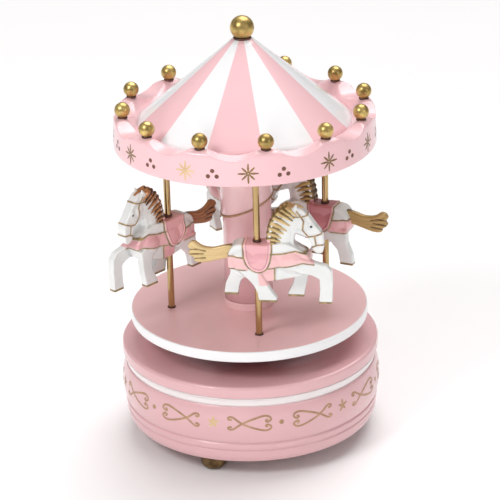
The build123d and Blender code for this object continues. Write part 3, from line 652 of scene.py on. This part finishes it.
def build_balls():
    """A gilt ball with a dark collar on each crest of the rim, and the finial on its ring."""
    for k, node in enumerate(BALL_NODES):
        x, y, _ = at(BALL_CIRCLE, FIRST_GORE + GORE * k) / MM
        # the last point reaches as low as the pin does
        outline = ball_profile(BALL_Z, BALL_RADIUS) + [(0.0, BALL_PIN_BOTTOM)]
        ball = lathe(f"gilt_ball_{k + 1:02d}", outline, antique, 48, (x, y))
        place(ball, "carousel", "antique_gold", node)
        outline = rounded([(1.1, 142.6), (2.15, 142.6), (2.0, 143.3), (1.6, 143.5), (1.1, 143.5)], 0.3)
        collar = lathe(f"ball_collar_{k + 1:02d}", outline, dark, 32, (x, y))
        place(collar, "carousel", "dark_metal")
    outline = [(r, z) for r, z in ball_profile(FINIAL_Z, FINIAL_RADIUS) if z > FINIAL_RING_TOP]
    finial = lathe("gilt_finial", outline, antique, 96)
    place(finial, "carousel", "antique_gold", "finial_ball")
    outline = rounded([(2.0, ROOF_TOP_Z), (3.6, ROOF_TOP_Z), (3.75, 172.9), (3.4, FINIAL_RING_TOP),
                       (2.0, FINIAL_RING_TOP)], 0.25)
    ring = lathe("finial_ring", outline, dark, 64)
    place(ring, "carousel", "dark_metal", "finial_washer")


# ---------- column, disc and poles
def slanted_tube(name, outer, inner, top, material):
    """A tube whose foot follows the sleeve's slanted cut; top(rise) is the height of its other end."""
    edge, ease, segments = 0.15, 0.12, 192
    points = []
    for k in range(segments):
        bearing = 360 * k / segments
        rise = SLEEVE_CUT_RISE * sin(radians(bearing))
        low, high = SLEEVE_CUT_Z + rise, top(rise)
        section = ((inner, low), (outer - ease, low), (outer, low + edge), (outer, high - edge),
                   (outer - ease, high), (inner, high))
        points += [tuple(at(r, bearing, z) / MM) for r, z in section]
    return mesh_object(name, points, ring_faces(segments, len(section)), material)


def build_column():
    """The turning disc, the column with its collar, and the slanted sleeve with its gilt edge."""
    edge = rounded([(2.1, DISC_BOTTOM), (DISC_RADIUS, DISC_BOTTOM), (DISC_RADIUS, DISC_TOP),
                    (2.1, DISC_TOP)], 0.7)
    disc = [(2.0, DISC_BOTTOM)] + edge[1:] + [(2.0, DISC_TOP)]
    place(lathe("disc_floor", disc, disc_paint), "carousel", "dusky_pink_paint", "platform_disc")
    collar = rounded([(COLUMN_RADIUS, DISC_TOP), (COLLAR_RADIUS, DISC_TOP), (COLLAR_RADIUS, COLLAR_TOP),
                      (COLUMN_RADIUS, COLLAR_TOP)], 0.25)
    place(lathe("column_band", collar, dusky, 96), "carousel", "dusky_pink_paint", "column_collar")
    lower = [(COLUMN_BORE, DISC_TOP), (COLUMN_RADIUS, DISC_TOP), (COLUMN_RADIUS, CEILING_BOTTOM),
             (COLUMN_BORE, CEILING_BOTTOM)]
    place(lathe("column_tube", lower, pink, 128), "carousel", "pink_paint", "column_lower")
    # painted light: the sleeve takes the lightened pink
    sleeve = slanted_tube("sleeve_tube", SLEEVE_RADIUS, COLUMN_RADIUS, lambda rise: CEILING_BOTTOM,
                          lit_sleeve_pink)
    place(sleeve, "carousel", "pink_paint", "column_sleeve")
    trim = slanted_tube("sleeve_gilt", SLEEVE_RADIUS + TRIM_PROUD, SLEEVE_RADIUS,
                        lambda rise: SLEEVE_CUT_Z + rise + TRIM_HEIGHT, print_gold)
    place(trim, "carousel", "antique_gold", "sleeve_trim")


def build_poles():
    """Four brass poles, each with dark rings at the disc, the saddle and the ceiling."""
    for name, (bearing, _, lift, *_) in RIDES.items():
        x, y, _ = at(POLE_CIRCLE, bearing) / MM
        rod = rounded([(0.01, POLE_BOTTOM), (POLE_RADIUS, POLE_BOTTOM), (POLE_RADIUS, POLE_TOP),
                       (0.01, POLE_TOP)], 0.2)
        pole = lathe(f"brass_pole_{name}", [(0.0, POLE_BOTTOM)] + rod[1:], brass, 40, (x, y))
        place(pole, "carousel", "brass", f"pole_{name}")
        for label, low, height in (("foot", 55.95, 0.6), ("saddle", 97.2 + lift, 1.2), ("top", 129.4, 0.6)):
            ring = rounded([(POLE_RADIUS, low), (POLE_RADIUS + 0.45, low), (POLE_RADIUS + 0.35, low + height),
                            (POLE_RADIUS, low + height)], 0.25)
            place(lathe(f"pole_ring_{label}_{name}", ring, dark, 40, (x, y)), "carousel", "dark_metal")


# ---------- horses
def segment_distance(points, a, b):
    """Distance from 2-D points to the straight line from a to b."""
    run = b - a
    t = np.clip(((points - a) @ run) / max(run @ run, 1e-12), 0, 1)
    return np.linalg.norm(points - a - t[:, None] * run, axis=1)


def signed_distance(points, outline):
    """Distance from 2-D points to a closed outline, negative inside."""
    outline = np.array(outline, float)
    best = np.full(len(points), 1e9)
    inside = np.zeros(len(points), bool)
    for a, b in zip(outline, np.roll(outline, -1, 0)):
        best = np.minimum(best, segment_distance(points, a, b))
        crosses = (a[1] > points[:, 1]) != (b[1] > points[:, 1])
        height = b[1] - a[1] if abs(b[1] - a[1]) > 1e-12 else 1e-12
        inside ^= crosses & (points[:, 0] < a[0] + (points[:, 1] - a[1]) / height * (b[0] - a[0]))
    return np.where(inside, -best, best)


def line_distance(points, line):
    """Distance from 2-D points to an open line."""
    line = np.array(line, float)
    return np.minimum.reduce([segment_distance(points, a, b) for a, b in zip(line, line[1:])])


def slab_into(work, outline, near, far):
    """Adds a plate between two widths (y) with a smooth outline of (x, z) points, in millimetres."""
    sides = []
    for y in (near, far):
        sides.append([work.verts.new((x, y, z)) for x, z in outline])
    work.faces.new(sides[0])
    work.faces.new(list(reversed(sides[1])))
    for k in range(len(outline)):
        j = (k + 1) % len(outline)
        work.faces.new((sides[0][k], sides[1][k], sides[1][j], sides[0][j]))


def blob_into(work, centre, size, tilt=0.0):
    """Adds an egg-shaped lump."""
    made = bmesh.ops.create_icosphere(work, subdivisions=3, radius=1.0)
    turn = Matrix.Rotation(radians(tilt), 4, "Y")
    move = Matrix.Translation(centre) @ turn @ Matrix.Diagonal((*size, 1))
    bmesh.ops.transform(work, matrix=move, verts=made["verts"])


def capsule_into(work, start, end, first, last):
    """Adds a tapered rounded bar between two points."""
    start, end = Vector(start), Vector(end)
    turn = (end - start).to_track_quat("Z", "Y").to_matrix().to_4x4()
    bmesh.ops.create_cone(work, cap_ends=True, segments=16, radius1=first, radius2=last,
                          depth=(end - start).length, matrix=Matrix.Translation((start + end) / 2) @ turn)
    for point, radius in ((start, first), (end, last)):
        bmesh.ops.create_icosphere(work, subdivisions=2, radius=radius, matrix=Matrix.Translation(point))


def fused(name, build, voxel, smoothing):
    """Fuses overlapping lumps into one skin: voxel remesh, then smoothing. Returns a mesh in millimetres."""
    work = bmesh.new()
    build(work)
    bmesh.ops.triangulate(work, faces=work.faces)
    bmesh.ops.recalc_face_normals(work, faces=work.faces)
    mesh = bpy.data.meshes.new(name)
    work.to_mesh(mesh)
    work.free()
    obj = linked(name, mesh)
    remesh = obj.modifiers.new("fuse", "REMESH")
    remesh.mode = "VOXEL"
    remesh.voxel_size = voxel
    relax = obj.modifiers.new("relax", "SMOOTH")
    relax.factor = 0.5
    relax.iterations = smoothing
    depsgraph = bpy.context.evaluated_depsgraph_get()
    result = bpy.data.meshes.new_from_object(obj.evaluated_get(depsgraph))
    bpy.data.objects.remove(obj)
    bpy.data.meshes.remove(mesh)
    return result


def positions(mesh):
    """Every point of a mesh as a row."""
    co = np.zeros(len(mesh.vertices) * 3)
    mesh.vertices.foreach_get("co", co)
    return co.reshape(-1, 3)


def set_positions(mesh, co):
    mesh.vertices.foreach_set("co", co.ravel())
    mesh.update()


def normals(mesh):
    """The normal at every point of a mesh as a row."""
    out = np.zeros(len(mesh.vertices) * 3)
    mesh.vertex_normals.foreach_get("vector", out)
    return out.reshape(-1, 3)


def hollows(mesh):
    """How deep each point lies in a fold: its neighbours' mean height over its tangent plane, evened out."""
    ends = np.zeros(len(mesh.edges) * 2, np.int32)
    mesh.edges.foreach_get("vertices", ends)
    first, second = ends.reshape(-1, 2).T
    co, normal = positions(mesh), normals(mesh)
    depth, count = np.zeros(len(co)), np.zeros(len(co))
    for here, there in ((first, second), (second, first)):
        np.add.at(depth, here, np.einsum("ij,ij->i", co[there] - co[here], normal[here]))
        np.add.at(count, here, 1)
    depth /= np.maximum(count, 1)
    for _ in range(6):
        total = np.zeros(len(co))
        np.add.at(total, first, depth[second])
        np.add.at(total, second, depth[first])
        depth = 0.5 * depth + 0.5 * total / np.maximum(count, 1)
    return depth


def keep(mesh, name, values):
    """Keeps a number for every point, to be read by the shaders."""
    attribute = mesh.attributes.new(name, "FLOAT", "POINT")
    attribute.data.foreach_set("value", np.asarray(values, np.float32))


# outlines of the horse, nose along +X: (forward of the pole, height)
TORSO = through([(-11.4, 89.5), (-11.0, 94.0), (-8.4, 96.9), (-3.0, 97.3), (3.0, 97.0), (7.0, 97.6),
                 (12.0, 98.0), (17.0, 95.8), (21.4, 92.2), (21.6, 88.6), (19.0, 84.8), (12.0, 82.8),
                 (5.0, 81.7), (-2.0, 82.3), (-7.0, 83.6), (-10.6, 85.8)], 5, True)
NECK = through([(5.0, 95.5), (5.0, 101.0), (6.4, 106.0), (9.4, 110.0), (13.2, 112.6), (17.2, 112.4),
                (17.6, 107.0), (15.6, 102.0), (15.3, 97.6), (18.4, 93.6), (12.0, 90.0)], 5, True)
HEAD = through([(13.4, 112.6), (17.6, 113.0), (20.6, 110.4), (23.6, 106.2), (26.6, 101.9), (27.1, 98.0),
                (26.9, 94.4), (25.0, 93.5), (23.0, 94.8), (22.2, 97.8), (20.6, 100.3), (17.4, 101.6),
                (14.6, 103.4), (13.0, 108.0)], 5, True)
SADDLE = [(-5.4, 99.5), (-5.4, 96.0), (-5.0, 92.6)] + through(
    [(-4.8, 91.6), (-3.6, 88.4), (-1.2, 86.3), (1.6, 85.7), (4.0, 87.0), (5.6, 90.2), (6.3, 94.6),
     (6.4, 99.5)])
CHEST_STRAP = [(4.0, 87.4), (11.0, 88.2), (19.0, 90.3), (23.5, 89.8), (23.5, 92.8), (16.0, 95.1),
               (11.0, 93.8), (4.0, 93.2)]
RUMP_STRAP = [(-3.0, 86.4), (-6.0, 86.6), (-13.5, 87.0), (-13.5, 92.2), (-6.0, 92.0), (-3.0, 91.8)]
GIRTH = [(1.2, 80.0), (7.4, 80.0), (7.6, 89.5), (0.2, 89.5)]
TACK_LINES = [
    [(5.8, 93.3), (11.0, 93.8), (16.0, 95.1), (23.5, 92.8)],
    [(5.0, 87.5), (11.0, 88.2), (19.0, 90.3), (23.5, 89.8)],
    [(7.5, 87.8), (7.4, 80.0)],
    [(-5.2, 92.0), (-9.0, 92.3), (-13.5, 92.2)],
    [(-4.2, 86.6), (-9.0, 86.8), (-13.5, 87.0)],
    [(16.6, 111.6), (19.3, 107.6), (18.8, 103.6), (21.1, 100.8), (23.8, 101.2), (27.6, 102.8)],
    [(15.0, 109.3), (18.6, 109.3), (22.4, 110.6)],
    [(22.4, 96.2), (24.4, 97.2), (28.2, 97.6)],
    [(23.6, 101.0), (24.2, 97.4)],
]
EYE, EYE_RADIUS = (22.3, 105.3), 0.6
# each leg: where its two sides lie across the horse, and its outline
LEGS = [
    (1.7, 4.9, [(-11.0, 88.0), (-11.6, 82.0), (-13.6, 77.4), (-14.2, 73.4), (-14.2, 72.6), (-8.4, 72.6),
                (-8.1, 75.6), (-7.2, 79.0), (-4.4, 82.0), (0.0, 85.0), (-3.0, 90.0)]),
    (-4.9, -1.7, [(-9.0, 88.0), (-4.0, 83.2), (-1.2, 80.0), (0.4, 76.6), (0.8, 73.4), (0.8, 72.6),
                  (8.4, 72.6), (8.2, 74.6), (6.0, 77.6), (4.2, 81.0), (2.4, 84.0), (0.0, 90.0)]),
    (1.7, 4.9, [(13.6, 88.0), (15.0, 82.6), (14.2, 78.6), (12.2, 74.6), (12.0, 72.6), (18.7, 72.6),
                (18.9, 75.2), (19.8, 79.0), (20.4, 83.0), (20.8, 88.5), (16.0, 91.0)]),
    (-4.9, -1.7, [(13.0, 88.0), (18.0, 85.6), (23.0, 84.9), (25.6, 83.4), (25.8, 79.0), (25.4, 74.4),
                  (25.4, 72.6), (30.7, 72.6), (30.8, 76.0), (31.0, 82.0), (30.6, 87.0), (28.6, 89.3),
                  (24.0, 90.4), (18.0, 92.0)]),
]


def body_lumps(work):
    """Trunk, neck, head, legs, ears and eyelids."""
    slab_into(work, TORSO, -3.9, 3.9)
    blob_into(work, (-5.6, 0, 90.6), (6.6, 5.4, 6.4))
    blob_into(work, (3.0, 0, 89.4), (10.0, 5.1, 7.2))
    blob_into(work, (14.6, 0, 89.9), (7.2, 5.4, 6.6))
    slab_into(work, NECK, -2.5, 2.5)
    blob_into(work, (11.4, 0, 100.0), (4.2, 3.2, 8.0), 12)
    slab_into(work, HEAD, -2.2, 2.2)
    blob_into(work, (18.4, 0, 106.4), (3.8, 2.9, 4.4), -30)
    blob_into(work, (25.0, 0, 96.4), (2.0, 2.1, 3.0), 8)
    for near, far, outline in LEGS:
        slab_into(work, outline, near, far)
    for side in (-1, 1):
        capsule_into(work, (15.0, side * 1.7, 111.6), (16.4, side * 2.1, 114.3), 1.15, 0.45)
        capsule_into(work, (22.2, side * 1.9, 105.9), (22.6, side * 1.9, 104.9), 0.9, 0.7)


def within(distance, edge, ease):
    """1 well below the edge, 0 above it, and a slope of width ease between."""
    return np.clip((edge - distance) / ease, 0, 1)


def horse_body():
    """The body with its tack in relief, and the distances that its paint is chosen by."""
    mesh = fused("horse_body", body_lumps, BODY_VOXEL, 5)
    co = positions(mesh)
    side = co[:, [0, 2]]
    saddle = signed_distance(side, SADDLE)
    straps = np.minimum.reduce([signed_distance(side, CHEST_STRAP), signed_distance(side, RUMP_STRAP),
                                signed_distance(side, GIRTH)])
    lines = np.minimum.reduce([line_distance(side, line) for line in TACK_LINES])
    flap = np.abs(saddle)
    hoof = np.where(side[:, 1] < SHIN_TOP, np.clip(side[:, 1] - HOOF_GILT_TOP, 0.0, FAR), FAR)
    raised = SADDLE_RISE * within(saddle, 0.0, 0.4) - PANEL_DROP * within(saddle, -1.1, 0.4)
    raised += STRAP_RISE * within(straps, 0.0, 0.4) * (saddle > 0)
    raised += LINE_RISE * within(lines, 0.45, 0.25)
    raised -= GROOVE_DROP * within(flap, 0.4, 0.25)
    co = co + normals(mesh) * raised[:, None]
    co[:, 2] = np.maximum(co[:, 2], HOOF_BOTTOM)
    set_positions(mesh, co)
    # how deep each point lies in a fold, which the painted shade follows
    fold = hollows(mesh)
    set_positions(mesh, co * MM)
    keep(mesh, "fold", fold / FOLD_DEPTH)
    keep(mesh, "saddle", saddle)
    keep(mesh, "border", np.maximum(saddle, -saddle - 1.15))
    keep(mesh, "seam", np.abs(saddle + 1.25))
    keep(mesh, "strap", straps)
    keep(mesh, "line", np.minimum.reduce([lines, flap, hoof]))
    # a band beside the gilt lines and round the saddle, which the painted shade follows
    keep(mesh, "line_shade", np.minimum(lines, flap))
    keep(mesh, "eye", np.hypot(side[:, 0] - EYE[0], side[:, 1] - EYE[1]) - EYE_RADIUS)
    smooth(mesh)
    return mesh


MANE_LOCKS = 9
MANE_ROOT = through([(15.4, 113.2), (13.6, 110.6), (11.2, 106.2), (9.4, 102.4), (8.0, 98.6)], 8)
MANE_EDGE = through([(12.6, 113.6), (9.2, 111.4), (6.5, 107.8), (5.0, 103.6), (4.3, 99.2), (4.6, 96.6)], 8)
TAIL = through([(-9.4, 95.5), (-13.0, 95.4), (-18.2, 94.2), (-22.4, 94.9), (-25.2, 96.8), (-27.2, 96.4),
                (-28.2, 94.8), (-27.3, 93.1), (-28.0, 91.8), (-27.2, 90.5), (-25.8, 89.8), (-25.6, 88.4),
                (-23.2, 87.7), (-19.0, 88.3), (-14.0, 89.8), (-9.6, 90.6)], 4, True)


def mane_ends(t):
    """Points on the crest and on the mane's free edge, a share t of the way down the neck."""
    return MANE_ROOT[int(t * (len(MANE_ROOT) - 1))], MANE_EDGE[int(t * (len(MANE_EDGE) - 1))]


def mane_lumps(work):
    """Locks combed down and back, from the crest out over each side of the neck."""
    for k in range(MANE_LOCKS):
        root, edge = mane_ends((k + 0.5) / MANE_LOCKS)
        for side in (-1, 1):
            start = (root[0] + 1.2, side * 2.7, root[1] - 2.9)
            middle = ((root[0] + edge[0]) / 2 + 0.2, side * 2.9, (root[1] + edge[1]) / 2 - 0.6)
            end = (edge[0] + 0.3, side * 1.2, edge[1] + 0.5)
            capsule_into(work, start, middle, 0.4, 0.8)
            capsule_into(work, middle, end, 0.8, 0.95)
    slab_into(work, MANE_EDGE + MANE_ROOT[::-1], -2.3, 2.3)
    capsule_into(work, (15.8, 0, 113.2), (18.4, 0, 112.4), 1.0, 0.7)


def tail_lumps(work):
    """A solid tail, waved along its length, with locks that part only at its end."""
    slab_into(work, TAIL, -0.95, 0.95)
    strands = [
        [(-9.6, 94.6), (-13.0, 94.5), (-18.0, 93.3), (-22.6, 94.0), (-25.8, 96.0)],
        [(-9.6, 93.1), (-14.0, 93.0), (-19.0, 91.9), (-23.8, 92.6), (-27.2, 94.3)],
        [(-9.8, 91.7), (-14.0, 91.3), (-19.0, 90.5), (-23.8, 90.7), (-27.0, 91.5)],
        [(-12.0, 90.7), (-16.0, 89.8), (-20.4, 88.9), (-24.4, 88.9)],
    ]
    for strand in strands:
        line = through(strand, 4)
        for k, (a, b) in enumerate(zip(line, line[1:])):
            radius = 0.70 + 0.12 * sin(pi * k / len(line))
            for side in (-1, 1):
                capsule_into(work, (a[0], 0.45 * side, a[1]), (b[0], 0.45 * side, b[1]), radius, radius)


def hair_piece(name, lumps, lines, width):
    """Mane or tail, with how deep each point lies in the grooves along the given lines."""
    mesh = fused(name, lumps, HAIR_VOXEL, 2)
    co = positions(mesh)
    side = co[:, [0, 2]]
    depth = np.minimum.reduce([line_distance(side, line) for line in lines])
    set_positions(mesh, co * MM)
    keep(mesh, "groove", np.clip(1.05 - depth / width, 0, 1))
    smooth(mesh)
    return mesh


def mane_grooves():
    """Lines between the locks, and one along the mane's free edge."""
    lines = []
    for k in range(1, MANE_LOCKS):
        root, edge = mane_ends(k / MANE_LOCKS)
        middle = ((root[0] + edge[0]) / 2 + 0.2, (root[1] + edge[1]) / 2 - 0.6)
        lines.append([(root[0] + 1.4, root[1] - 3.2), middle, (edge[0], edge[1] + 0.2)])
    lines.append([(x - 0.3, z + 0.2) for x, z in MANE_EDGE])
    return lines


TAIL_GROOVES = [
    [(-9.0, 95.9), (-12.8, 95.8), (-18.2, 94.7), (-22.2, 95.4), (-25.2, 97.3), (-27.4, 96.9)],
    [(-21.0, 92.9), (-24.0, 93.6), (-28.6, 93.3)],
    [(-22.0, 91.6), (-25.0, 91.5), (-28.6, 91.2)],
    [(-21.0, 89.9), (-24.0, 89.6), (-27.0, 89.2)],
]


def build_horses():
    """The same horse on each pole, in that ride's own colours."""
    body = horse_body()
    mane = hair_piece("horse_mane", mane_lumps, mane_grooves(), 0.8)
    tail = hair_piece("horse_tail", tail_lumps, TAIL_GROOVES, 0.55)
    for name, (bearing, heading, lift, saddle, bright, wear_and_shade) in RIDES.items():
        spin = Matrix.Rotation(radians(heading), 4, "Z")
        matrix = Matrix.Translation(at(POLE_CIRCLE, bearing, lift)) @ spin
        strap = STRAP_FRONT if name == "front" else STRAP
        coat = horse_paint(f"horse_paint_{name}", saddle, strap, GILT, LINE_SHADE)
        hair = hair_paint(f"hair_paint_{name}", bright, wear_and_shade)
        for mesh, label, material in ((body, "body", coat), (mane, "mane", hair), (tail, "tail", hair)):
            own = mesh.copy()
            own.materials.append(material)
            piece = linked(f"horse_{label}_{name}", own)
            piece.matrix_world = matrix
            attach(piece, "carousel")
        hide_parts(f"horse_{name}")


# ---------- studio
# name: place, point aimed at, size (all in metres), power in watts, seen in reflections
LAMPS = {
    "key": ((-0.5, -0.5, 0.75), (0, 0, 0.09), 0.3, 3.2, True),
    "fill": ((0.7, -0.6, 0.45), (0, 0, 0.09), 0.45, 0.9, True),
    "front": ((-0.25, -0.95, 0.2), (0, 0, 0.1), 0.4, 2.2, False),
}
SUN_ENERGY, SUN_ANGLE, SUN_TILT = 2.1, 50, (-25, 12, 0)             # angles in degrees
SKY_LOW, SKY_HIGH, SKY_STRENGTH = (0.34, 0.31, 0.31), (1.0, 0.98, 0.975), 0.44
BACKDROP = (2.15, 2.13, 2.13)
FLOOR_LOW, FLOOR_HIGH, FLOOR_HALF = (0.93, 0.92, 0.92), (0.96, 0.95, 0.95), 12000
LENS, SENSOR = 158.4, 36
VIEW_DISTANCE, VIEW_ELEVATION, VIEW_ROLL = 0.92336, 23.008, -1.51   # metres and degrees
VIEW_TARGET = (0.00086, 0.0, 0.07968)


def build_floor():
    """A wide pale floor."""
    material, tree, surface = shader("floor")
    setup(tree, surface, Base_Color=mix_colour(tree, noise(tree, 6), FLOOR_LOW, FLOOR_HIGH), Roughness=0.6)
    corners = [(FLOOR_HALF * x, FLOOR_HALF * y, 0) for x, y in ((-1, -1), (1, -1), (1, 1), (-1, 1))]
    floor = mesh_object("floor", corners, [(0, 1, 2, 3)], material)


def build_lights():
    """Three soft lamps, a wide sun, and a world lighter overhead with a plain backdrop to the camera."""
    for name, (location, aim, size, power, mirrored) in LAMPS.items():
        data = bpy.data.lights.new(name, "AREA")
        data.size = size
        data.energy = power
        lamp = linked(name, data)
        lamp.location = location
        lamp.rotation_euler = (Vector(aim) - Vector(location)).to_track_quat("-Z", "Y").to_euler()
        lamp.visible_camera = False
        lamp.visible_glossy = mirrored
    data = bpy.data.lights.new("overhead", "SUN")
    data.energy = SUN_ENERGY
    data.angle = radians(SUN_ANGLE)
    linked("overhead", data).rotation_euler = [radians(angle) for angle in SUN_TILT]
    world = bpy.data.worlds.new("studio")
    bpy.context.scene.world = world
    world.use_nodes = True
    tree = world.node_tree
    height = ramp(tree, axes(tree, "Generated")["Z"], 0.0, 0.8, 0.0, 1.0)
    sky = mix_colour(tree, height, SKY_LOW, SKY_HIGH)
    seen = tree.nodes.new("ShaderNodeLightPath")
    tone = mix_colour(tree, seen.outputs["Is Camera Ray"], sky, BACKDROP)
    setup(tree, tree.nodes["Background"], Color=tone, Strength=SKY_STRENGTH)
    bpy.context.scene.view_settings.view_transform = "Standard"


def build_camera():
    """The camera found from the photo: its distance from the target, elevation, roll and lens."""
    data = bpy.data.cameras.new("camera")
    data.lens = LENS
    data.sensor_width = SENSOR
    camera = linked("camera", data)
    elevation = radians(VIEW_ELEVATION)
    target = Vector(VIEW_TARGET)
    location = target + Vector((0, -cos(elevation), sin(elevation))) * VIEW_DISTANCE
    look = (target - location).to_track_quat("-Z", "Y").to_matrix().to_4x4()
    roll = Matrix.Rotation(radians(VIEW_ROLL), 4, "Z")
    camera.matrix_world = Matrix.Translation(location) @ look @ roll
    bpy.context.scene.camera = camera


finish_cad()
build_drum()
build_feet()
build_band()
build_canopy()
build_rim_print()
build_balls()
build_column()
build_poles()
build_horses()
build_floor()
build_lights()
build_camera()
